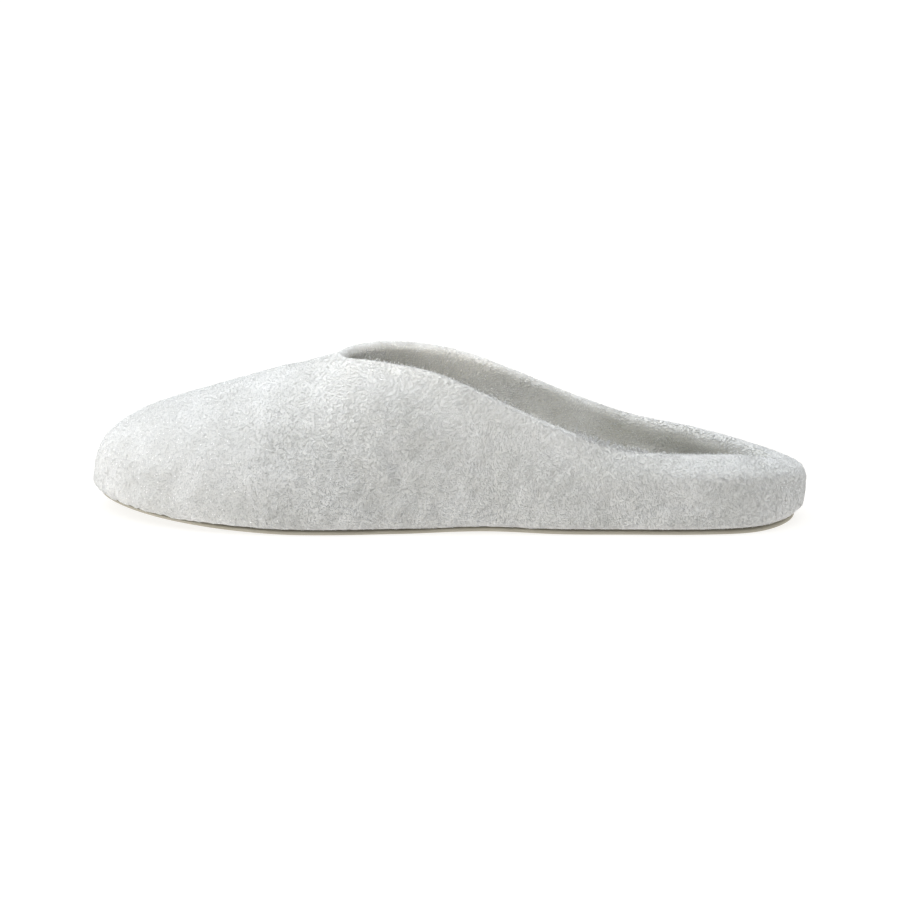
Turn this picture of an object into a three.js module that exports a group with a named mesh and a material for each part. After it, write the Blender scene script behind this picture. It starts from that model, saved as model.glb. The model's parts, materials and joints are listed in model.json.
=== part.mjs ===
// A backless house slipper with a closed, rounded toe and a low padded roll round the heel, for the left foot.
// Millimetres, +Z up. The toe points to -X and the outer side of the foot is -Y.
// The origin lies on the floor, under the middle of the slipper.
import * as THREE from 'three';
import { mergeVertices } from 'three/addons/utils/BufferGeometryUtils.js';

// Overall sizes
const slipperLength = 265;
const ballWidth = 96;
const waistWidth = 74;
const heelWidth = 69;
const instepHeight = 59;
const heelHeight = 25;

// Walls and layers
const wall = 5;
const heelPadding = 3;
const soleThickness = 2;
const soleEdgeRadius = 0.9;
const insoleThickness = 6;
const insoleEdgeDrop = 1.5;
const insoleEdgeRun = 1.8;
const clearance = 0.3;

// Line of the sole, seen from the side
const toeSpring = 6.2;
const toeSpringFrom = 0.68;
const toeSpringCurve = 1.6;
const heelLift = 1.2;
const heelLiftTo = 0.08;
const heelLiftCurve = 2;
const archLift = 0.8;
const archFrom = 0.32;
const archTo = 0.56;

// How the upper swells out over the edge of the sole
const soleInset = 2.8;
const bulgeHeight = 8;
const roundness = 0.55;

// Fineness of the mesh
const stepsPerRow = 3;
const curlSteps = 4;
const sideSteps = 8;
const rimSteps = 4;
const cornerShares = [0, 0.5, 1];
const crossShares = [0.25, 0.5, 0.75];
const curveStep = 1e-4;
const mergeDistance = 1e-3;

// The vamp, from the toe to the throat. along is the place of the widest line, as a share of the slipper's
// length from the heel; lateral and medial are its shares of the width. The two sides meet on the ridge,
// at ridgeAlong and at ridge, a share of the instep's height. bulge is a share of bulgeHeight.
const ridgeShift = 0.02;
const vampRows = [
  { name: 'toe tip', along: 1.0, lateral: -0.03, medial: 0.03, bulge: 0.4, ridgeAlong: 0.898, ridge: 0.668 },
  { name: 'toe end', along: 0.989, lateral: 0.125, medial: 0.185, bulge: 0.43, ridgeAlong: 0.892, ridge: 0.678 },
  { name: 'toe round', along: 0.951, lateral: 0.266, medial: 0.307, bulge: 0.55, ridgeAlong: 0.873, ridge: 0.706 },
  { name: 'small toes', along: 0.891, lateral: 0.385, medial: 0.411, bulge: 0.7, ridgeAlong: 0.833, ridge: 0.759 },
  { name: 'toe roots', along: 0.811, lateral: 0.464, medial: 0.469, bulge: 0.85, ridgeAlong: 0.779, ridge: 0.833 },
  { name: 'ball', along: 0.725, lateral: 0.495, medial: 0.495, bulge: 1, ridgeAlong: 0.716, ridge: 0.919 },
  { name: 'throat', along: 0.664, lateral: 0.49, medial: 0.479, bulge: 1, ridgeAlong: 0.65, ridge: 0.997 },
].map((row) => ({ ...row, width: ballWidth, inset: 1 }));

// The quarters and heel, from just behind the throat. rimAlong, rimLateral and rimMedial place the rim in plan;
// lateralRise and medialRise are its heights as shares of the row's tall size. lean is the slope of the wall
// there in degrees, and padding the share of heelPadding. fullness is how far the wall keeps its direction
// before it bends, and inset a share of soleInset.
const throatLean = 12;
const frontQuarterRows = [
  { name: 'instep', along: 0.615, lateral: 0.474, medial: 0.453, lean: 15, padding: 0,
    rimAlong: 0.636, rimLateral: 0.135, rimMedial: 0.155, lateralRise: 1.008, medialRise: 1.004 },
  { name: 'top of the arch', along: 0.562, lateral: 0.448, medial: 0.422, lean: 34, padding: 0,
    rimAlong: 0.592, rimLateral: 0.228, rimMedial: 0.248, lateralRise: 1.01, medialRise: 1.005 },
].map((row) => ({ ...row, width: ballWidth, tall: instepHeight, fullness: roundness, inset: 1 }));
const waistRows = [
  { name: 'front of the waist', along: 0.491, lateral: 0.547, medial: 0.507, lean: 58, padding: 0,
    rimAlong: 0.506, rimLateral: 0.392, rimMedial: 0.408, lateralRise: 0.95, medialRise: 0.94 },
  { name: 'waist', along: 0.415, lateral: 0.52, medial: 0.48, lean: 72, padding: 0.1,
    rimAlong: 0.419, rimLateral: 0.443, rimMedial: 0.453, lateralRise: 0.783, medialRise: 0.79 },
  { name: 'back of the waist', along: 0.332, lateral: 0.514, medial: 0.473, lean: 76, padding: 0.25,
    rimAlong: 0.332, rimLateral: 0.455, rimMedial: 0.455, lateralRise: 0.612, medialRise: 0.63 },
].map((row) => ({ ...row, width: waistWidth, tall: instepHeight, fullness: roundness, inset: 1 }));
const heelRows = [
  { name: 'front of the heel', along: 0.242, lateral: 0.525, medial: 0.505, lean: 50, padding: 0.5,
    fullness: 0.62, inset: 1,
    rimAlong: 0.245, rimLateral: 0.46, rimMedial: 0.456, lateralRise: 1.18, medialRise: 1.24 },
  { name: 'heel', along: 0.151, lateral: 0.5, medial: 0.493, lean: 29, padding: 0.85,
    fullness: 0.76, inset: 1.05,
    rimAlong: 0.162, rimLateral: 0.385, rimMedial: 0.38, lateralRise: 1.13, medialRise: 1.14 },
  { name: 'round of the heel', along: 0.068, lateral: 0.428, medial: 0.428, lean: 20, padding: 1,
    fullness: 0.83, inset: 1.25,
    rimAlong: 0.093, rimLateral: 0.27, rimMedial: 0.27, lateralRise: 1.09, medialRise: 1.01 },
  { name: 'end of the heel', along: 0.019, lateral: 0.246, medial: 0.246, lean: 16, padding: 1,
    fullness: 0.85, inset: 1.45,
    rimAlong: 0.05, rimLateral: 0.13, rimMedial: 0.13, lateralRise: 0.96, medialRise: 0.91 },
  { name: 'heel back', along: 0, lateral: 0, medial: 0, lean: 15, padding: 1,
    fullness: 0.85, inset: 1.5,
    rimAlong: 0.038, rimLateral: 0, rimMedial: 0, lateralRise: 0.9, medialRise: 0.9 },
].map((row) => ({ ...row, width: heelWidth, tall: heelHeight }));
const heelBulge = 0.78;
const quarterRows = [...frontQuarterRows, ...waistRows, ...heelRows]
  .map((row) => ({ ...row, bulge: row.tall === heelHeight ? heelBulge : 1 }));

const up = new THREE.Vector3(0, 0, 1);
const across = new THREE.Vector3(0, 1, 0);
const rows = [...vampRows, ...quarterRows];
const throatRow = vampRows.length - 1;
const heelRow = rows.length - 1;
const columnCount = 2 * heelRow * stepsPerRow;

const placeX = (along) => slipperLength * (0.5 - along);
const shareAlong = (x) => 0.5 - x / slipperLength;

// Height of the sole's underside over the floor: flat under the heel and the ball, a little raised under
// the arch, and turned up at the toe.
function soleLine(x) {
  const share = shareAlong(x);
  const toe = Math.max(0, (share - toeSpringFrom) / (1 - toeSpringFrom));
  const heel = Math.max(0, (heelLiftTo - share) / heelLiftTo);
  const arch = THREE.MathUtils.clamp((share - archFrom) / (archTo - archFrom), 0, 1);
  const archRise = archLift * Math.sin(Math.PI * arch) ** 2;
  return toeSpring * toe ** toeSpringCurve + heelLift * heel ** heelLiftCurve + archRise;
}

const seatHeight = (x) => soleLine(x) + soleThickness + clearance;

// A closed curve through one point a row, down the lateral side, round the heel and back up the medial side.
function loopThrough(someRows, pointOf) {
  const lateral = someRows.map((row) => pointOf(row, -1));
  const medial = someRows.slice(1, -1).reverse().map((row) => pointOf(row, 1));
  return new THREE.CatmullRomCurve3([...lateral, ...medial], true, 'centripetal');
}

// The direction of a closed curve at a share of the way round it.
function directionOf(loop, share) {
  return loop.getPoint(share + curveStep).sub(loop.getPoint(share - curveStep)).normalize();
}

const widestLine = loopThrough(rows, (row, side) => new THREE.Vector3(
  placeX(row.along), side * row.width * (side < 0 ? row.lateral : row.medial), 0));
const edgeShape = loopThrough(rows, (row) => new THREE.Vector3(
  row.bulge * bulgeHeight, row.inset * soleInset, 0));

const ridge = new THREE.CatmullRomCurve3(vampRows.map((row) => new THREE.Vector3(
  placeX(row.ridgeAlong), ridgeShift * row.width, row.ridge * instepHeight)), false, 'centripetal');

const throat = vampRows[throatRow];
const rimRows = [
  { rimAlong: throat.ridgeAlong, width: throat.width, rimLateral: -ridgeShift, rimMedial: ridgeShift,
    tall: instepHeight, lateralRise: throat.ridge, medialRise: throat.ridge, lean: throatLean, padding: 0,
    fullness: roundness },
  ...quarterRows,
];
const rimLine = loopThrough(rimRows, (row, side) => new THREE.Vector3(
  placeX(row.rimAlong), side * row.width * (side < 0 ? row.rimLateral : row.rimMedial),
  row.tall * (side < 0 ? row.lateralRise : row.medialRise)));
const rimShape = loopThrough(rimRows, (row) => new THREE.Vector3(row.lean, row.padding, row.fullness));

// One column of the upper: a strip of the wall that starts on the widest line and runs up to the ridge or rim.
function columnAt(index) {
  const place = index / stepsPerRow;
  const rowPlace = Math.min(place, 2 * heelRow - place);
  const foot = widestLine.getPoint(index / columnCount);
  const inward = up.clone().cross(directionOf(widestLine, index / columnCount)).normalize();
  const [swell, inset] = edgeShape.getPoint(index / columnCount).toArray();
  const column = { foot, inward, swell, inset, atRim: rowPlace >= throatRow, thickness: wall, fullness: roundness };
  if (column.atRim) {
    const share = (place - throatRow) / (2 * (heelRow - throatRow));
    const [lean, padding, fullness] = rimShape.getPoint(share).toArray();
    const along = directionOf(rimLine, share);
    const open = up.clone().cross(along).normalize();
    const slope = THREE.MathUtils.degToRad(lean);
    column.top = rimLine.getPoint(share);
    column.over = open.multiplyScalar(Math.cos(slope)).addScaledVector(up, Math.sin(slope));
    column.over.addScaledVector(along, -column.over.dot(along)).normalize();
    column.into = column.over.clone().cross(along).normalize();
    column.thickness += heelPadding * padding;
    column.fullness = fullness;
  } else {
    column.top = ridge.getPoint(rowPlace / throatRow);
    column.into = across.clone().cross(ridge.getTangent(rowPlace / throatRow)).normalize();
  }
  return column;
}

const columns = Array.from({ length: columnCount }, (_, index) => columnAt(index));

// Points up one face of the wall. depth is how far that face lies inside the outer one, at the foot and at the top.
function facePoints(column, footDepth, topDepth) {
  const foot = column.foot.clone().addScaledVector(column.inward, footDepth);
  foot.z = seatHeight(foot.x) + column.swell;
  const top = column.top.clone().addScaledVector(column.into, topDepth);
  const curl = Array.from({ length: curlSteps }, (_, step) => {
    const turn = step / curlSteps * Math.PI / 2;
    const point = foot.clone().addScaledVector(column.inward, column.inset * (1 - Math.sin(turn)));
    return point.setZ(seatHeight(point.x) + column.swell * (1 - Math.cos(turn)));
  });
  const reach = new THREE.Vector3(top.x - foot.x, top.y - foot.y, 0);
  const run = reach.length();
  const rise = top.z - foot.z;
  reach.normalize();
  const arrive = reach.clone().multiplyScalar(-column.into.z).addScaledVector(up, reach.dot(column.into));
  arrive.normalize();
  const landing = column.fullness * (run * arrive.dot(reach) + rise * Math.max(arrive.z, 0));
  const side = new THREE.CubicBezierCurve3(
    foot,
    foot.clone().addScaledVector(up, column.fullness * rise),
    top.clone().addScaledVector(arrive, -landing),
    top,
  );
  return [...curl, ...side.getPoints(sideSteps)];
}

const outerFace = (column) => facePoints(column, 0, 0);
const innerFace = (column) => facePoints(column, wall, column.thickness);

// The round edge of the rim, from the outer face over to the inner one.
function rimPoints(column) {
  const radius = column.thickness / 2;
  const centre = column.top.clone().addScaledVector(column.into, radius);
  return Array.from({ length: rimSteps - 1 }, (_, step) => {
    const turn = Math.PI * (step + 1) / rimSteps;
    return centre.clone()
      .addScaledVector(column.into, -radius * Math.cos(turn))
      .addScaledVector(column.over, radius * Math.sin(turn));
  });
}

// A closed body from four-sided facets, with equal corners merged and empty triangles left out.
function bodyFrom(facets) {
  const corners = facets.flatMap(([a, b, c, d]) => [a, b, c, a, c, d]);
  const loose = new THREE.BufferGeometry().setFromPoints(corners);
  const geometry = mergeVertices(loose, mergeDistance);
  const index = geometry.index.array;
  const kept = [];
  for (let i = 0; i < index.length; i += 3) {
    const [a, b, c] = index.slice(i, i + 3);
    if (a !== b && b !== c && a !== c) kept.push(a, b, c);
  }
  geometry.setIndex(kept);
  geometry.computeVertexNormals();
  return geometry;
}

// Facets between two lines with the same number of points.
function facetsBetween(line, next) {
  return line.slice(1).map((point, i) => [line[i], next[i], next[i + 1], point]);
}

function upperGeometry() {
  const strips = columns.map((column) => ({
    column,
    outer: outerFace(column),
    inner: innerFace(column),
    rim: column.atRim ? rimPoints(column) : [],
  }));
  const facets = strips.flatMap((strip, i) => {
    const next = strips[(i + 1) % strips.length];
    const ends = (one) => [one.outer.at(-1), ...one.rim, one.inner.at(-1)];
    return [
      ...facetsBetween(strip.outer, next.outer),
      ...facetsBetween([...strip.inner].reverse(), [...next.inner].reverse()),
      ...facetsBetween([strip.inner[0], strip.outer[0]], [next.inner[0], next.outer[0]]),
      ...(strip.column.atRim && next.column.atRim ? facetsBetween(ends(strip), ends(next)) : []),
    ];
  });
  return bodyFrom(facets);
}

// A slab that is laid from the toe to the heel: rings across it, each from its lateral to its medial edge.
// edgeOf gives the points of one edge from the bottom to the top.
function slabGeometry(edgeOf) {
  const half = columnCount / 2;
  const rings = Array.from({ length: half + 1 }, (_, i) => {
    const lateral = edgeOf(columns[i]);
    const medial = edgeOf(columns[(columnCount - i) % columnCount]);
    const between = (from, to, height) => crossShares.map((share) => {
      const point = from.clone().lerp(to, share);
      return point.setZ(height(point.x));
    });
    const bottomHeight = (x) => soleLine(x) + lateral[0].z - soleLine(lateral[0].x);
    const topHeight = (x) => soleLine(x) + lateral.at(-1).z - soleLine(lateral.at(-1).x);
    return [
      ...[...lateral].reverse(),
      ...between(lateral[0], medial[0], bottomHeight),
      ...medial,
      ...between(medial.at(-1), lateral.at(-1), topHeight),
      lateral.at(-1),
    ];
  });
  return bodyFrom(rings.slice(1).flatMap((ring, i) => facetsBetween(ring, rings[i])));
}

// The outsole's edge stands under the foot of the upper, with its lower corner rounded off.
function outsoleEdge(column) {
  const edge = column.foot.clone().addScaledVector(column.inward, column.inset);
  const underside = soleLine(edge.x);
  const corner = cornerShares.map((share) => {
    const turn = share * Math.PI / 2;
    return edge.clone()
      .addScaledVector(column.inward, soleEdgeRadius * (1 - Math.sin(turn)))
      .setZ(underside + soleEdgeRadius * (1 - Math.cos(turn)));
  });
  return [...corner, edge.clone().setZ(underside + soleThickness)];
}

const heightOf = (point) => point.z - seatHeight(point.x);

// The point of the wall's inner face at a height over the outsole, moved in by the clearance.
function insideWall(column, height) {
  const face = innerFace(column);
  const above = Math.max(1, face.findIndex((point) => heightOf(point) >= height));
  const [low, high] = [face[above - 1], face[above]];
  const share = (height - heightOf(low)) / (heightOf(high) - heightOf(low));
  return low.clone().lerp(high, share).addScaledVector(column.inward, clearance);
}

// The insole fills the floor of the slipper inside the wall, and its top edge is rounded down a little.
function insoleEdge(column) {
  const side = cornerShares.map((share) => {
    const height = share * (insoleThickness - insoleEdgeDrop);
    const point = insideWall(column, height);
    return point.setZ(seatHeight(point.x) + height);
  });
  const top = side[2].clone().addScaledVector(column.inward, insoleEdgeRun);
  return [...side, top.setZ(seatHeight(top.x) + insoleThickness)];
}

function piece(name, geometry, look) {
  const mesh = new THREE.Mesh(geometry, new THREE.MeshStandardMaterial({ metalness: 0, ...look }));
  mesh.name = name;
  return mesh;
}

const slipper = new THREE.Group();
slipper.name = 'slipper';
slipper.add(
  piece('outsole', slabGeometry(outsoleEdge), { color: 0xcbc5b6, roughness: 0.85 }),
  piece('insole', slabGeometry(insoleEdge), { color: 0xeeeeea, roughness: 1 }),
  piece('upper', upperGeometry(), { color: 0xf2f3f2, roughness: 1 }),
);

export default slipper;
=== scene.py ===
"""A backless house slipper in white cotton terry, on a white light table in a studio."""

import json
import math

import bpy
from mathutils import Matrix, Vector, noise

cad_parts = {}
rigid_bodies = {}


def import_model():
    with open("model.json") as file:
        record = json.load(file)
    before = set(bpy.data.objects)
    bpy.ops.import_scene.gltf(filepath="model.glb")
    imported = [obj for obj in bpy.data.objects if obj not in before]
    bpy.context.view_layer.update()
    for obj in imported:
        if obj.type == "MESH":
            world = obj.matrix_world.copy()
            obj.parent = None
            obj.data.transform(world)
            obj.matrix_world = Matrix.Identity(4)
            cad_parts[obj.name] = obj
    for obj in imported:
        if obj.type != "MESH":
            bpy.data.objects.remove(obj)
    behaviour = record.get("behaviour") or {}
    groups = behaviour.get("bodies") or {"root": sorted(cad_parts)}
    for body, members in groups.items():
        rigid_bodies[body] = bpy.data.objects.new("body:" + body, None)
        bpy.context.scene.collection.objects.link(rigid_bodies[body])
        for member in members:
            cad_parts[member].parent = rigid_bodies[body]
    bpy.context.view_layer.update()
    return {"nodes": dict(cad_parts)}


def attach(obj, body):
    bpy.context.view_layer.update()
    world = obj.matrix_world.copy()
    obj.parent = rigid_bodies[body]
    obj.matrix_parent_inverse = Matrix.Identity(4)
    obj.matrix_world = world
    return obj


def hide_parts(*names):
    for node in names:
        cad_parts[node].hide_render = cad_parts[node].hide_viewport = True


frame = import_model()

# Blender measures in metres. A length in millimetres is multiplied by MM.
MM = 0.001
SLIPPER_LENGTH = 265 * MM
# The height of the loops on the outside, which the ground cloth is drawn in by.
PILE = 0.4 * MM
# The least distance between two loops on each part.
LOOP_SPACING = 0.42 * MM
LINING_SPACING = 0.7 * MM
INSOLE_SPACING = 0.8 * MM
RIM_SPACING = 1.1 * MM
COLLAR_SPACING = 0.7 * MM
# Where the collar starts and where the instep gives way to the heel, along the slipper.
THROAT = -40.3 * MM
HEEL_FROM = 10 * MM
# A line inside the upper, from the toes to the heel, that tells its inside from its outside.
SPINE_TOE, SPINE_HEEL, SPINE_HEIGHT = -0.095, 0.085, 0.018
# The sole's upper side in millimetres: its height on the flat, and its rise at the toe and at the heel.
SOLE_TOP, TOE_RISE, HEEL_RISE = 2.3, 6.2, 1.2
# Where the toe's rise starts and how far each rise runs, as shares of the length from the heel.
TOE_RISE_FROM, TOE_RISE_RUN, HEEL_RISE_RUN = 0.68, 0.32, 0.08
# How often a solid is subdivided, and how often the cloth in front of the throat is evened out.
ROUNDING = 2
VAMP_SMOOTHING = 30

# Soft ridges and troughs on the outer side, seen from the side of the shoe: where each starts and ends, as
# x and z in millimetres, then its width and its height in millimetres. A trough has a height below nought.
CREASES = (
    ("ridge beside the ball", -22, 29, -17, 22, 2.6, 0.85),
    ("foot of that ridge", -17, 23, -15, 6, 3.0, 0.35),
    ("trough in front of it", -27, 24, -21, 12, 4.0, -0.5),
    ("trough behind it", -14, 23, -12, 14, 3.5, -0.5),
    ("trough over the small toe", -66, 10, -44, 17, 5.0, -0.6),
    ("swell over the small toe", -62, 18, -40, 26, 6.0, 0.5),
    ("trough below the instep", -8, 33, 24, 25, 5.0, -0.5),
    ("trough at the toe end", -103, 30, -99, 14, 3.5, -0.4),
    ("trough at the waist", 48, 22, 62, 12, 5.0, -0.5),
    ("swell at the waist", 62, 20, 76, 12, 5.0, 0.4),
)

# Kinds of loop: length, width, thickness, height of the arch and bow to a side, in millimetres.
COMBED_LOOPS = (
    (1.3, 0.36, 0.22, 0.20, 0.09),
    (1.1, 0.34, 0.22, 0.27, -0.07),
    (1.5, 0.34, 0.20, 0.18, -0.10),
    (1.0, 0.36, 0.24, 0.31, 0.06),
)
PRESSED_LOOPS = (
    (1.3, 0.40, 0.20, 0.13, 0.07),
    (1.1, 0.38, 0.20, 0.18, -0.06),
    (1.5, 0.38, 0.18, 0.11, -0.08),
    (1.0, 0.40, 0.22, 0.20, 0.05),
)
LINING_LOOPS = (
    (2.0, 0.50, 0.36, 0.42, 0.30),
    (1.7, 0.46, 0.34, 0.55, -0.25),
    (2.3, 0.46, 0.34, 0.36, -0.35),
    (1.5, 0.50, 0.36, 0.65, 0.20),
)
STANDING_LOOPS = (
    (0.8, 0.42, 0.36, 1.00, 0.30),
    (0.7, 0.38, 0.34, 1.30, -0.25),
    (1.0, 0.40, 0.34, 0.80, 0.40),
)
TALL_LOOPS = (
    (0.9, 0.50, 0.40, 1.9, 0.35),
    (0.8, 0.45, 0.38, 2.4, -0.30),
    (1.1, 0.48, 0.38, 1.5, 0.45),
)


def colour(code):
    """The linear colour of an sRGB hex code."""
    parts = [int(code[i : i + 2], 16) / 255 for i in (1, 3, 5)]
    return (
        *(p / 12.92 if p <= 0.04045 else ((p + 0.055) / 1.055) ** 2.4 for p in parts),
        1.0,
    )


def clamp(value, low, high):
    """The value, held between two limits."""
    return min(max(value, low), high)


def put(tree, kind, sockets=None, **settings):
    """Adds a node with its settings. A socket is given a value, or another node's output to link."""
    made = tree.nodes.new(kind)
    for name, value in settings.items():
        setattr(made, name, value)
    for name, value in (sockets or {}).items():
        if isinstance(value, bpy.types.NodeSocket):
            tree.links.new(value, made.inputs[name])
        else:
            made.inputs[name].default_value = value
    return made


def new_material(name):
    """A new material, with its node tree and its shader."""
    material = bpy.data.materials.new(name)
    material.use_nodes = True
    return material, material.node_tree, material.node_tree.nodes["Principled BSDF"]


def alone(piece):
    """Selects one object and nothing else."""
    bpy.ops.object.select_all(action="DESELECT")
    piece.select_set(True)
    bpy.context.view_layer.objects.active = piece


def select_where(piece, kind, test):
    """In object mode, selects the vertices or faces of a piece that pass a test."""
    bpy.context.tool_settings.mesh_select_mode = (kind == "vertices", False, kind == "polygons")
    mesh = piece.data
    for part in (mesh.polygons, mesh.edges, mesh.vertices):
        part.foreach_set("select", [False] * len(part))
    for one in getattr(mesh, kind):
        one.select = test(one)


def copy_of(node, name):
    """A new piece that starts as a CAD node's solid, with its corners merged and its triangles paired."""
    piece = bpy.data.objects.new(name, frame["nodes"][node].data.copy())
    bpy.context.scene.collection.objects.link(piece)
    piece.data.materials.clear()
    alone(piece)
    bpy.ops.object.mode_set(mode="EDIT")
    bpy.ops.mesh.select_all(action="SELECT")
    bpy.ops.mesh.remove_doubles(threshold=0.01 * MM)
    bpy.ops.mesh.tris_convert_to_quads(face_threshold=math.radians(60), shape_threshold=math.radians(80))
    bpy.ops.object.mode_set(mode="OBJECT")
    return piece


def subdivide(piece):
    """Rounds a piece by subdivision."""
    alone(piece)
    rounding = piece.modifiers.new("Subsurf", "SUBSURF")
    rounding.levels = ROUNDING
    rounding.render_levels = ROUNDING
    bpy.ops.object.modifier_apply(modifier=rounding.name)


def shade_smooth(piece):
    """Shades all faces of a piece smooth."""
    for face in piece.data.polygons:
        face.use_smooth = True


def spine(point):
    """The point of the line inside the upper that lies nearest along the slipper."""
    return Vector((clamp(point.x, SPINE_TOE, SPINE_HEEL), 0.0, SPINE_HEIGHT))


def looks_out(face):
    """True for a face of the upper that looks away from the foot."""
    return face.normal.dot(face.center - spine(face.center)) > 0


def terry_material(name, light, shade, pressed=False):
    """Cotton terry: combed cotton yarn, woven in uncut loops, bleached and washed.
    The eye sees matt white threads with a soft bloom, in patches of slightly different tone. Where the loops
    are pressed flat, light passes from one into the next and the threads run together."""
    material, tree, shader = new_material(name)
    place = put(tree, "ShaderNodeTexCoord").outputs["Object"]
    # Patches of the pile that lie differently, about 14 mm across.
    patches = put(
        tree,
        "ShaderNodeTexNoise",
        {"Vector": place, "Scale": 70.0, "Detail": 2.0, "Roughness": 0.5},
    )
    # Single fibres are far too fine to show, so they are drawn 0.25 mm across.
    fibres = put(tree, "ShaderNodeTexNoise", {"Vector": place, "Scale": 4000.0, "Detail": 1.0})
    tuft = put(tree, "ShaderNodeAttribute", attribute_name="tuft")
    spread = put(
        tree,
        "ShaderNodeMath",
        {0: tuft.outputs["Fac"], 1: 0.45, 2: patches.outputs["Fac"]},
        operation="MULTIPLY_ADD",
    )
    tone = put(
        tree,
        "ShaderNodeMapRange",
        {"Value": spread.outputs[0], "From Min": 0.35, "From Max": 1.05},
    )
    mixed = put(
        tree,
        "ShaderNodeMix",
        {"Factor": tone.outputs[0], "A": colour(shade), "B": colour(light)},
        data_type="RGBA",
    )
    # One loop in fourteen is painted pure white: a painted highlight for loops that catch the light.
    clear = put(tree, "ShaderNodeMath", {0: tuft.outputs["Fac"], 1: 0.93}, operation="GREATER_THAN")
    tone_with_highlights = put(
        tree,
        "ShaderNodeMix",
        {"Factor": clear.outputs[0], "A": mixed.outputs["Result"], "B": colour("#FFFFFF")},
        data_type="RGBA",
    )
    tree.links.new(tone_with_highlights.outputs["Result"], shader.inputs["Base Color"])
    # Light wanders between the loops, so each loop is shaded partly as the ground cloth under it.
    ground = put(tree, "ShaderNodeAttribute", attribute_name="ground")
    own = put(tree, "ShaderNodeNewGeometry")
    soft = put(
        tree,
        "ShaderNodeVectorMath",
        {0: ground.outputs["Vector"], 1: (0.7, 0.7, 0.7), 2: own.outputs["Normal"]},
        operation="MULTIPLY_ADD",
    )
    level = put(tree, "ShaderNodeVectorMath", {0: soft.outputs[0]}, operation="NORMALIZE")
    bump = put(
        tree,
        "ShaderNodeBump",
        {"Height": fibres.outputs["Fac"], "Strength": 0.4, "Distance": 0.1 * MM, "Normal": level.outputs[0]},
    )
    tree.links.new(bump.outputs["Normal"], shader.inputs["Normal"])
    # Light wanders through the fibres of a yarn before it comes out again.
    if pressed:
        shader.subsurface_method = "BURLEY"
    shader.inputs["Subsurface Weight"].default_value = 0.6 if pressed else 1.0
    shader.inputs["Subsurface Radius"].default_value = (1.0, 0.98, 0.94)
    shader.inputs["Subsurface Scale"].default_value = (0.25 if pressed else 0.8) * MM
    shader.inputs["Roughness"].default_value = 0.95
    shader.inputs["Specular IOR Level"].default_value = 0.2
    return material


def sole_material():
    """Foam rubber sole: foam, cut from a moulded sheet, matt.
    The eye sees a warm off-white edge, softly clouded, with a fine grain."""
    material, tree, shader = new_material("foam rubber sole, moulded and cut")
    place = put(tree, "ShaderNodeTexCoord").outputs["Object"]
    # Clouds of tone about 17 mm across.
    clouds = put(tree, "ShaderNodeTexNoise", {"Vector": place, "Scale": 60.0, "Detail": 4.0})
    mixed = put(
        tree,
        "ShaderNodeMix",
        {"Factor": clouds.outputs["Fac"], "A": colour("#A09A8A"), "B": colour("#BDB8AA")},
        data_type="RGBA",
    )
    tree.links.new(mixed.outputs["Result"], shader.inputs["Base Color"])
    # The cells of the foam, drawn 0.7 mm across.
    grain = put(tree, "ShaderNodeTexVoronoi", {"Vector": place, "Scale": 1400.0})
    bump = put(
        tree,
        "ShaderNodeBump",
        {"Height": grain.outputs["Distance"], "Strength": 0.4, "Distance": 0.15 * MM},
    )
    tree.links.new(bump.outputs["Normal"], shader.inputs["Normal"])
    shader.inputs["Roughness"].default_value = 0.8
    return material


def make_shell():
    """The cloth and padding of the upper, without its pile: the CAD solid, drawn in by the height of the
    loops, with its rim in a vertex group."""
    shell = copy_of("upper", "upper_ground_cloth")
    shell.vertex_groups.new(name="rim")
    bpy.context.tool_settings.mesh_select_mode = (False, True, False)
    bpy.ops.object.mode_set(mode="EDIT")
    bpy.ops.mesh.select_all(action="DESELECT")
    bpy.ops.mesh.edges_select_sharp(sharpness=math.radians(30))
    bpy.ops.object.mode_set(mode="OBJECT")
    # Sharp edges also run round the bottom and in front of the throat, and those stay out of the group.
    sharp = {i for edge in shell.data.edges if edge.select for i in edge.vertices}
    places = [vertex.co for vertex in shell.data.vertices]
    rim = [i for i in sharp if places[i].z > 15 * MM and places[i].x > THROAT]
    shell.vertex_groups["rim"].add(rim, 1.0, "REPLACE")
    subdivide(shell)
    # The cloth runs over the vamp and round the throat without a fold.
    smooth_vamp(shell, VAMP_SMOOTHING)
    select_where(shell, "polygons", lambda face: not (face.normal.z < -0.95 and face.center.z < 0.012))
    bpy.ops.object.mode_set(mode="EDIT")
    bpy.ops.transform.shrink_fatten(value=-PILE)
    bpy.ops.object.mode_set(mode="OBJECT")
    # The normals are read before any vertex moves.
    normals = [vertex.normal.copy() for vertex in shell.data.vertices]
    on_rim = rim_weights(shell)
    for vertex, normal, held in zip(shell.data.vertices, normals, on_rim):
        if normal.dot(vertex.co - spine(vertex.co)) > 0:
            # Lumps show more on the sides than on top of the foot, and less on the rim.
            steep = clamp(1.25 - 1.1 * normal.z, 0.45, 1.5)
            vertex.co += normal * (1 - 0.5 * held) * (steep * lump(vertex.co) + crease(vertex.co))
            vertex.co.z -= hang(vertex.co)
    shade_smooth(shell)
    return shell


def in_front_of_throat(vertex):
    """True for a vertex of the outside near the throat, short of the rim."""
    place = vertex.co
    near = THROAT - 20 * MM < place.x < THROAT + 16 * MM and place.z > 20 * MM
    short = place.z < 57 * MM or place.x < THROAT - 2.5 * MM
    return near and short and vertex.normal.dot(place - spine(place)) > 0


def smooth_vamp(shell, times):
    """Evens out the outside of the shell near the throat."""
    select_where(shell, "vertices", in_front_of_throat)
    bpy.ops.object.mode_set(mode="EDIT")
    bpy.ops.mesh.vertices_smooth(factor=0.5, repeat=times)
    bpy.ops.object.mode_set(mode="OBJECT")


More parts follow.
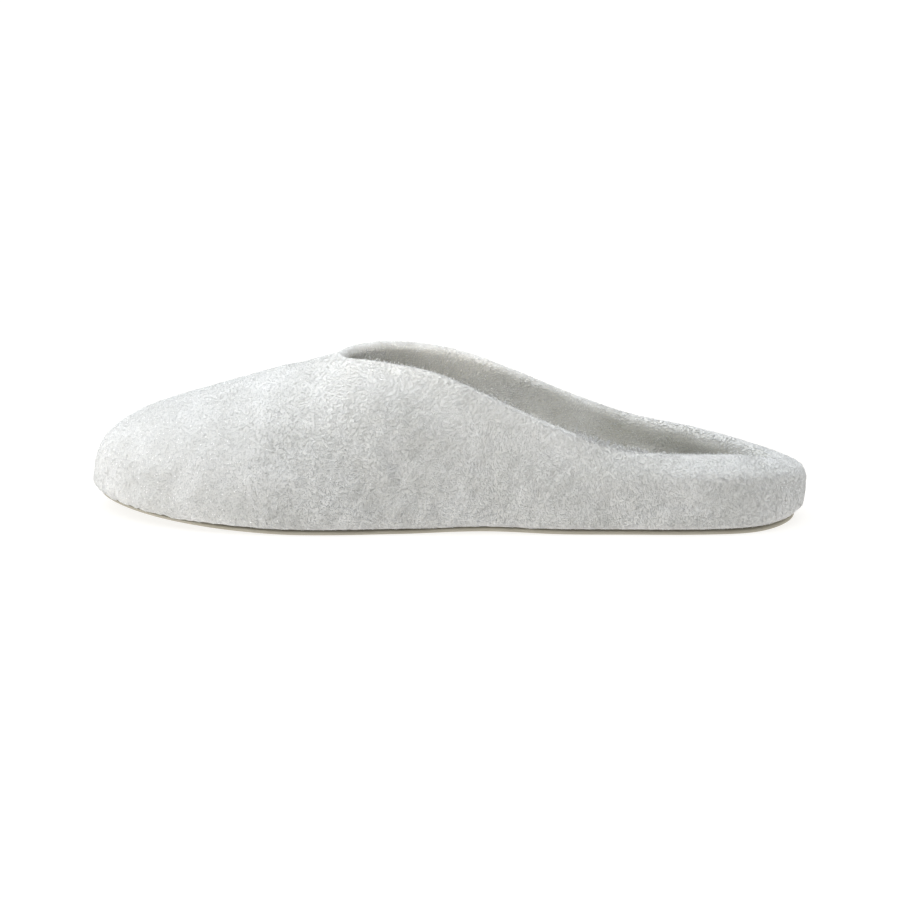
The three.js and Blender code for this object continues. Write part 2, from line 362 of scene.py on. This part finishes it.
def lump(point):
    """How far the pile stands up or lies flat at a point of the outside: soft lumps of a few millimetres.
    They lean towards the toe, as the cloth is pulled over it."""
    leaning = Vector((point.x - 0.5 * point.z, point.y, 0.6 * point.z))
    coarse = noise.noise(leaning / (7 * MM))
    fine = noise.noise(leaning / (2.8 * MM) + Vector((5, 3, 1)))
    return over_sole(point, 3) * MM * (0.38 * coarse + 0.42 * fine)


def sole_top(x):
    """Height of the sole's upper side, which turns up at the toe and a little at the heel."""
    share = 0.5 - x / SLIPPER_LENGTH
    toe = max(0.0, (share - TOE_RISE_FROM) / TOE_RISE_RUN)
    heel = max(0.0, (HEEL_RISE_RUN - share) / HEEL_RISE_RUN)
    return (SOLE_TOP + TOE_RISE * toe**1.6 + HEEL_RISE * heel**2) * MM


def over_sole(point, depth):
    """0 at the sole's upper side, rising to 1 at a depth in millimetres over it."""
    return clamp((point.z - sole_top(point.x)) / (depth * MM), 0.0, 1.0)


def hang(point):
    """How far the pile hangs down over the edge of the sole at a point low on the outside, raggedly:
    0.5 mm along the side, 1.1 mm more at the toe and nothing at the back of the heel."""
    toe = clamp((-55 * MM - point.x) / (45 * MM), 0.0, 1.0)
    ragged = 1 + 0.6 * noise.noise(point / (2.5 * MM))
    heel = clamp((112 * MM - point.x) / (20 * MM), 0.0, 1.0)
    return (0.5 * heel + 1.1 * toe) * MM * ragged * over_sole(point, 0.5) * (1 - over_sole(point, 9)) ** 2


def crease(point):
    """The height of the listed ridges and troughs at a point."""
    if point.y > 0:
        return 0.0
    height = 0.0
    for _, x0, z0, x1, z1, width, rise in CREASES:
        start, end = Vector((x0, z0)) * MM, Vector((x1, z1)) * MM
        here, along = Vector((point.x, point.z)) - start, end - start
        share = clamp(here.dot(along) / along.length_squared, 0.0, 1.0)
        away = (here - along * share).length / (width * MM)
        height += rise * MM * math.exp(-away * away)
    return height


def rim_weights(shell):
    """How much of the rim each vertex of the shell is, from 0 to 1."""
    group = shell.vertex_groups["rim"].index
    return [sum(g.weight for g in v.groups if g.group == group) for v in shell.data.vertices]


def part_of_rim(shell):
    """The faces of the shell that lie on the rim."""
    weights = rim_weights(shell)
    return {f.index for f in shell.data.polygons if min(weights[i] for i in f.vertices) > 0.3}


def make_loop(name, length, width, thickness, height, bow, root):
    """One loop of pile, of six triangles: a yarn that comes up from the ground cloth, arches over and goes
    back in. It lies along Y and bows out to a side."""
    bpy.ops.object.select_all(action="DESELECT")
    bpy.ops.mesh.primitive_uv_sphere_add(segments=3, ring_count=3, radius=1)
    loop = bpy.context.object
    loop.name = name
    # The two rings between the poles fall together into one.
    for v in loop.data.vertices:
        if abs(v.co.z) < 0.99:
            v.co.z = 0.0
            v.co.normalize()
    bpy.ops.object.mode_set(mode="EDIT")
    bpy.ops.mesh.select_all(action="SELECT")
    bpy.ops.mesh.remove_doubles(threshold=0.01)
    bpy.ops.object.mode_set(mode="OBJECT")
    for v in loop.data.vertices:
        x, y, z = v.co
        arch = 1 - z * z
        v.co = (
            -y * width / 2 + bow * arch,
            -z * length / 2,
            x * thickness / 2 + height * arch - root,
        )
    return loop


def make_stock(name, table, root):
    """The loops that a pile is sown from, in a collection of their own.
    root is how far their feet reach into the cloth, in millimetres."""
    stock = bpy.data.collections.new(name)
    bpy.context.scene.collection.children.link(stock)
    for number, (length, width, thickness, height, bow) in enumerate(table):
        loop = make_loop(
            f"{name}_{number}", length * MM, width * MM, thickness * MM, height * MM, bow * MM, root * MM
        )
        for owner in list(loop.users_collection):
            owner.objects.unlink(loop)
        stock.objects.link(loop)
    return stock


def sow(name, ground, keep, stock, spacing, seed, nap, material, tilt=0.2):
    """Sows loops over the faces of the ground cloth that pass a test, and makes them one mesh.
    nap is the way the pile lies, and its loops swirl about it in patches."""
    piece = bpy.data.objects.new(name, ground.data.copy())
    bpy.context.scene.collection.objects.link(piece)
    select_where(piece, "polygons", lambda face: not keep(face))
    alone(piece)
    bpy.ops.object.mode_set(mode="EDIT")
    bpy.ops.mesh.delete(type="FACE")
    bpy.ops.object.mode_set(mode="OBJECT")

    tree = bpy.data.node_groups.new(f"{name} sowing", "GeometryNodeTree")
    tree.interface.new_socket("Geometry", in_out="INPUT", socket_type="NodeSocketGeometry")
    tree.interface.new_socket("Geometry", in_out="OUTPUT", socket_type="NodeSocketGeometry")
    start = put(tree, "NodeGroupInput")
    points = put(
        tree,
        "GeometryNodeDistributePointsOnFaces",
        {"Mesh": start.outputs[0], "Distance Min": spacing, "Density Max": 4e6, "Seed": seed},
        distribute_method="POISSON",
    )
    where = put(tree, "GeometryNodeInputPosition")
    # The swirls are about 11 mm across.
    swirl = put(tree, "ShaderNodeTexNoise", {"Vector": where.outputs[0], "Scale": 90.0, "Detail": 2.0})
    centred = put(
        tree, "ShaderNodeVectorMath", {0: swirl.outputs["Color"], 1: (0.5, 0.5, 0.5)}, operation="SUBTRACT"
    )
    way = put(
        tree,
        "ShaderNodeVectorMath",
        {0: centred.outputs[0], 1: (5.0, 5.0, 5.0), 2: nap},
        operation="MULTIPLY_ADD",
    )
    upright = put(
        tree, "FunctionNodeAlignRotationToVector", {"Vector": points.outputs["Normal"]}, axis="Z"
    )
    combed = put(
        tree,
        "FunctionNodeAlignRotationToVector",
        {"Rotation": upright.outputs[0], "Vector": way.outputs[0]},
        axis="Y",
        pivot_axis="Z",
    )
    tousle = put(
        tree,
        "FunctionNodeRandomValue",
        {"Min": (-tilt, -tilt, -0.75), "Max": (tilt, tilt, 0.75), "Seed": seed + 1},
        data_type="FLOAT_VECTOR",
    )
    turned = put(
        tree,
        "FunctionNodeRotateRotation",
        {"Rotation": combed.outputs[0], "Rotate By": tousle.outputs[0]},
        rotation_space="LOCAL",
    )
    size = put(tree, "FunctionNodeRandomValue", {2: 0.8, 3: 1.15, "Seed": seed + 2}, data_type="FLOAT")
    loops = put(
        tree,
        "GeometryNodeCollectionInfo",
        {"Collection": stock, "Separate Children": True, "Reset Children": True},
    )
    # Each loop keeps the normal of the ground cloth under it, and a number of its own, for the material.
    grounded = put(
        tree,
        "GeometryNodeStoreNamedAttribute",
        {"Geometry": points.outputs["Points"], "Name": "ground", "Value": points.outputs["Normal"]},
        data_type="FLOAT_VECTOR",
        domain="POINT",
    )
    planted = put(
        tree,
        "GeometryNodeInstanceOnPoints",
        {
            "Points": grounded.outputs[0],
            "Instance": loops.outputs[0],
            "Pick Instance": True,
            "Rotation": turned.outputs[0],
            "Scale": size.outputs[1],
        },
    )
    chance = put(tree, "FunctionNodeRandomValue", {"Seed": seed + 3}, data_type="FLOAT")
    marked = put(
        tree,
        "GeometryNodeStoreNamedAttribute",
        {"Geometry": planted.outputs[0], "Name": "tuft", "Value": chance.outputs[1]},
        data_type="FLOAT",
        domain="INSTANCE",
    )
    real = put(tree, "GeometryNodeRealizeInstances", {0: marked.outputs[0]})
    smooth = put(tree, "GeometryNodeSetShadeSmooth", {0: real.outputs[0], "Shade Smooth": True})
    dressed = put(tree, "GeometryNodeSetMaterial", {"Geometry": smooth.outputs[0], "Material": material})
    put(tree, "NodeGroupOutput", {0: dressed.outputs[0]})
    alone(piece)
    sowing = piece.modifiers.new("Sowing", "NODES")
    sowing.node_group = tree
    bpy.ops.object.modifier_apply(modifier=sowing.name)
    return piece


def make_rounded(node, name):
    """A piece that is its CAD solid, rounded."""
    piece = copy_of(node, name)
    subdivide(piece)
    shade_smooth(piece)
    return piece


def make_floor():
    """A large white light table, so bright that the picture shows it as pure white."""
    bpy.ops.object.select_all(action="DESELECT")
    bpy.ops.mesh.primitive_plane_add(size=40)
    floor = bpy.context.object
    floor.name = "floor"
    material, _, shader = new_material("white light table")
    shader.inputs["Base Color"].default_value = colour("#868583")
    shader.inputs["Emission Color"].default_value = colour("#FFFEFC")
    shader.inputs["Emission Strength"].default_value = 0.82
    # The table is large and even, so paths that hit it light the slipper with less noise than aimed ones.
    material.cycles.emission_sampling = "NONE"
    shader.inputs["Roughness"].default_value = 1.0
    shader.inputs["Specular IOR Level"].default_value = 0.0
    floor.data.materials.append(material)


def hang_light(name, kind, strength, tint, toward, place=(0.0, 0.0, 0.0)):
    """Adds a light at a place that shines in a direction, and returns its settings."""
    light = bpy.data.lights.new(name, kind)
    light.energy = strength
    light.color = colour(tint)[:3]
    lamp = bpy.data.objects.new(name, light)
    bpy.context.scene.collection.objects.link(lamp)
    lamp.location = place
    lamp.rotation_euler = Vector(toward).to_track_quat("-Z", "Y").to_euler()
    return light


def make_softbox(name, power, width, height, tint, place, target, spread=180):
    """Adds a rectangular light at a place, turned to a target. spread is the angle that it fans out by."""
    light = hang_light(name, "AREA", power, tint, Vector(target) - Vector(place), place)
    light.shape = "RECTANGLE"
    light.size = width
    light.size_y = height
    light.spread = math.radians(spread)


def make_spot(name, power, angle, tint, place, target):
    """Adds a spotlight at a place, turned to a target. angle is the width of its cone."""
    light = hang_light(name, "SPOT", power, tint, Vector(target) - Vector(place), place)
    light.spot_size = math.radians(angle)
    light.spot_blend = 1.0
    light.shadow_soft_size = 0.06


def make_camera():
    """At the photo's angle: a little from above, and a little towards the heel."""
    azimuth, elevation, distance = math.radians(5), math.radians(12.3), 0.95
    # In the photo's pixels: its side, what a millimetre of the slipper takes, and where the camera aims.
    side, per_mm, aim_x, aim_y = 900, 2.708, 446.3, 443.6
    aim = Vector((0, 0, 0.025))
    back = Vector(
        (
            math.sin(azimuth) * math.cos(elevation),
            -math.cos(azimuth) * math.cos(elevation),
            math.sin(elevation),
        )
    )
    lens = bpy.data.cameras.new("camera")
    lens.sensor_width = 36
    lens.lens = per_mm / MM * distance / side * lens.sensor_width
    lens.shift_x = (side / 2 - aim_x) / side
    lens.shift_y = -(side / 2 - aim_y) / side
    camera = bpy.data.objects.new("camera", lens)
    bpy.context.scene.collection.objects.link(camera)
    camera.location = aim + back * distance
    camera.rotation_euler = (-back).to_track_quat("-Z", "Y").to_euler()
    bpy.context.scene.camera = camera


def light_stage():
    """Sets the studio's lights: wide ones for the whole slipper and narrow ones for its inside."""
    scene = bpy.context.scene
    scene.view_settings.view_transform = "Standard"
    world = bpy.data.worlds.new("studio")
    world.use_nodes = True
    world.node_tree.nodes["Background"].inputs["Color"].default_value = colour("#FFF8F0")
    world.node_tree.nodes["Background"].inputs["Strength"].default_value = 0.16
    scene.world = world
    sun = hang_light("overhead light", "SUN", 3.35, "#F6FBFF", (0.3, 0.05, -1.0))
    sun.angle = math.radians(90)
    make_softbox("light at the toe", 1.9, 0.4, 0.3, "#FFFBF7", (-0.62, -0.37, 0.07), (-0.11, 0.0, 0.02))
    make_softbox("light behind the heel", 0.65, 0.3, 0.3, "#F8FBFF", (0.6, 0.05, 0.12), (0.12, 0.0, 0.02))
    # The wide lights leave the far inner wall darker than in the photo, so three narrow ones reach in to it.
    make_spot("light into the collar", 7.5, 9, "#FFFBF4", (-0.02, -0.45, 0.5), (-0.01, 0.03, 0.055))
    strip = "strip of light over the near rim"
    over_rim, inner_wall = (-0.012, -0.45, 0.162), (-0.012, 0.035, 0.0515)
    make_softbox(strip, 0.0012, 0.06, 0.012, "#FFFBF4", over_rim, inner_wall, spread=3)
    make_spot("light into the heel", 9.0, 9, "#FFFBF4", (0.05, -0.45, 0.5), (0.055, 0.03, 0.042))


def outside(face):
    """True for a face on the outside of the upper, apart from its flat bottom."""
    return not (face.normal.z < -0.9 and face.center.z < 0.013) and looks_out(face)


def pressed_flat(face):
    """True for the faces over the toes, where the pile is pressed flat. On top of the foot that reaches
    further back, and it gives way in patches."""
    reach = -60 + 26 * max(2 * face.normal.z - 1, 0) + 34 * noise.noise(face.center / (1.6 * MM))
    return face.center.x < reach * MM


def near_lip(face, first, last):
    """True for a face on top of the near rim, between two places along the slipper."""
    on_lip = face.index in rim_faces and face.center.y < 0 and face.normal.z > 0.6
    return on_lip and first < face.center.x < last


make_camera()
make_floor()
light_stage()

terry = terry_material("cotton terry, bleached", "#EBEBEA", "#D6D6D3")
# The pressed terry is painted darker than the rest: partly to even out the brighter scattering of its loops,
# partly as painted shade that tones down the light on the toes.
pressed_terry_painted_shade = terry_material(
    "cotton terry, bleached and pressed flat, painted darker", "#D6D7D7", "#C8C8C7", pressed=True
)
# The tufts on the rim are painted pure white, lighter than the rest of the terry: painted light, for tufts
# that catch the light from above.
tuft_terry_painted_light = terry_material("cotton terry, loose loops, painted lighter", "#FFFFFF", "#F2F2F0")
# The lining and footbed are painted lighter than the outer terry: painted light for the inside of the
# slipper, which the lamps reach less.
lining_terry_painted_light = terry_material("cotton terry lining, painted lighter", "#FFFFFD", "#DDDBD1")

shell = make_shell()
shell.data.materials.append(terry)
rim_faces = part_of_rim(shell)
insole = make_rounded("insole", "footbed")
insole.data.materials.append(lining_terry_painted_light)
outsole = make_rounded("outsole", "sole")
outsole.data.materials.append(sole_material())

combed = make_stock("combed_loops", COMBED_LOOPS, 0.12)
pressed = make_stock("pressed_loops", PRESSED_LOOPS, 0.12)
lining = make_stock("lining_loops", LINING_LOOPS, 0.2)
standing = make_stock("standing_loops", STANDING_LOOPS, 0.25)
tall = make_stock("tall_loops", TALL_LOOPS, 0.25)

upper_piles = [
    sow(
        "vamp_pile", shell, lambda f: outside(f) and pressed_flat(f),
        pressed, LOOP_SPACING, 11, (0.3, 0.0, 1.0), pressed_terry_painted_shade,
    ),
    sow(
        "instep_pile", shell, lambda f: outside(f) and not pressed_flat(f) and f.center.x < HEEL_FROM,
        combed, LOOP_SPACING, 12, (1.0, 0.0, 0.3), terry,
    ),
    sow(
        "heel_pile", shell, lambda f: outside(f) and f.center.x >= HEEL_FROM,
        combed, LOOP_SPACING, 13, (0.3, 0.0, -1.0), terry,
    ),
    sow(
        "lining_pile", shell, lambda f: not looks_out(f) and f.center.z > 0.007,
        lining, LINING_SPACING, 14, (1.0, 0.0, 0.2), lining_terry_painted_light,
    ),
]
insole_pile = sow(
    "insole_pile", insole, lambda f: f.normal.z > 0.5,
    lining, INSOLE_SPACING, 15, (1.0, 0.3, 0.0), lining_terry_painted_light,
)
upper_piles += [
    sow(
        "rim_tufts", shell, lambda f: near_lip(f, -28 * MM, math.inf),
        standing, RIM_SPACING, 16, (0.0, 0.3, 1.0), tuft_terry_painted_light, tilt=0.45,
    ),
    sow(
        "collar_tufts", shell, lambda f: near_lip(f, 48 * MM, 74 * MM),
        tall, COLLAR_SPACING, 17, (0.3, 0.3, 1.0), tuft_terry_painted_light, tilt=0.6,
    ),
]
for used in (combed, pressed, lining, standing, tall):
    for loop in list(used.objects):
        bpy.data.objects.remove(loop)
    bpy.data.collections.remove(used)

for piece in (shell, *upper_piles):
    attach(piece, "root")
    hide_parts("upper")
for piece in (insole, insole_pile):
    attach(piece, "root")
    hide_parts("insole")
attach(outsole, "root")
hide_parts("outsole")
